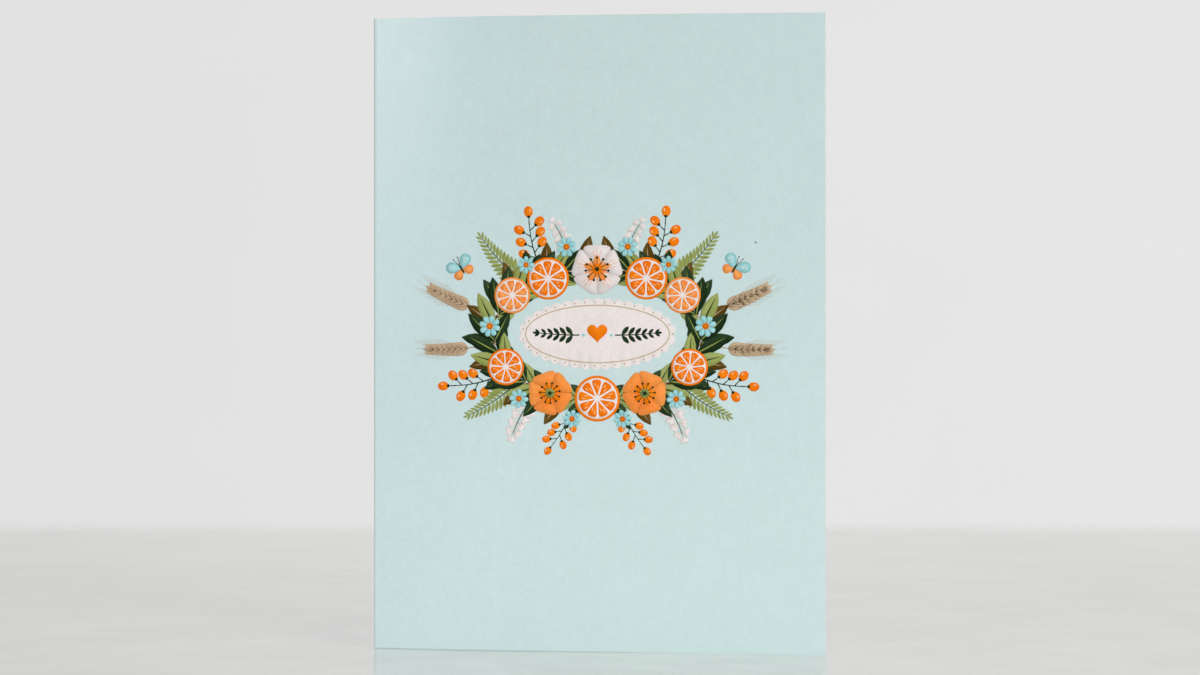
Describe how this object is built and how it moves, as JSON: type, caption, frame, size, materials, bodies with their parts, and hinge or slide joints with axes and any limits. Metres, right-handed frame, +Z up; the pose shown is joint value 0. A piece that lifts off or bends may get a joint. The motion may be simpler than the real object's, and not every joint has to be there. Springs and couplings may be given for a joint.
{
  "type": "greeting card",
  "caption": "Folded greeting card of printed board, standing upright on its lower edges, opened a little at its scored spine.",
  "frame": {"origin": "middle of the footprint, on the surface that the card stands on", "axes": "+Z up along the spine, +X from the spine to the free edges, front panel on the -Y side"},
  "size_m": [0.123, 0.0666, 0.1778],
  "materials": {
    "printed_board": "satin coated board with a pale blue-green print outside and a bare white inside"
  },
  "bodies": {
    "root": {"card": "printed_board"}
  },
  "joints": []
}
